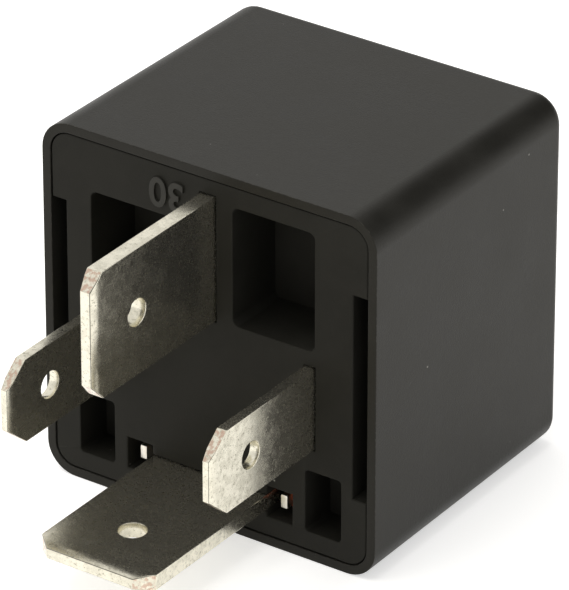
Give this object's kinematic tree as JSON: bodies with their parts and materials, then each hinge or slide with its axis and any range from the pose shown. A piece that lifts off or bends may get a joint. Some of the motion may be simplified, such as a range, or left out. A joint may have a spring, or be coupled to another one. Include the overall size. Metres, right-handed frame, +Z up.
{
  "type": "automotive relay",
  "caption": "Plug-in automotive relay in a square black housing with flat blade terminals, a coil and a hinged armature inside.",
  "frame": {"origin": "middle of the base's flat terminal face", "axes": "X across the terminal face, +Y into the body, away from the blades, +Z up as it lies on the cover's side"},
  "size_m": [0.0274, 0.0368, 0.0274],
  "materials": {
    "cover_plastic": "black moulded plastic, fine satin grain",
    "base_plastic": "black moulded plastic, matt",
    "tinned_copper": "tin plated copper alloy, dull and speckled",
    "magnet_iron": "zinc plated soft iron",
    "bobbin_plastic": "natural glass-filled nylon",
    "copper_wire": "red-brown enamelled copper",
    "pin_metal": "bright tinned pin",
    "spring_bronze": "rolled copper alloy",
    "rivet_metal": "bright steel",
    "contact_silver": "silver alloy",
    "bracket_steel": "plated sheet steel",
    "braid_copper": "fine copper braid"
  },
  "bodies": {
    "housing": {"cover": "cover_plastic", "base": "base_plastic", "terminal_30": "tinned_copper", "terminal_87": "tinned_copper", "terminal_85": "tinned_copper", "terminal_86": "tinned_copper", "yoke": "magnet_iron", "core": "magnet_iron", "bobbin": "bobbin_plastic", "coil_winding": "copper_wire", "coil_pin_85": "pin_metal", "coil_pin_86": "pin_metal", "coil_lead_85": "copper_wire", "coil_lead_86": "copper_wire", "yoke_rivets": "rivet_metal", "fixed_contact": "contact_silver", "stop_bracket": "bracket_steel", "shunt_braid": "braid_copper"},
    "armature": {"armature": "magnet_iron", "leaf_spring": "spring_bronze", "armature_rivets": "rivet_metal", "moving_contact": "contact_silver"}
  },
  "joints": [
    {"name": "armature_hinge", "type": "hinge", "parent": "housing", "child": "armature", "pos_m": [0, 0.0186, 0.0102], "axis": [-1, 0, 0], "range_deg": [0, 2.6], "stiffness_Nm_per_rad": 0.3, "springref_deg": -4.01, "deforming": ["leaf_spring", "shunt_braid"]}
  ]
}
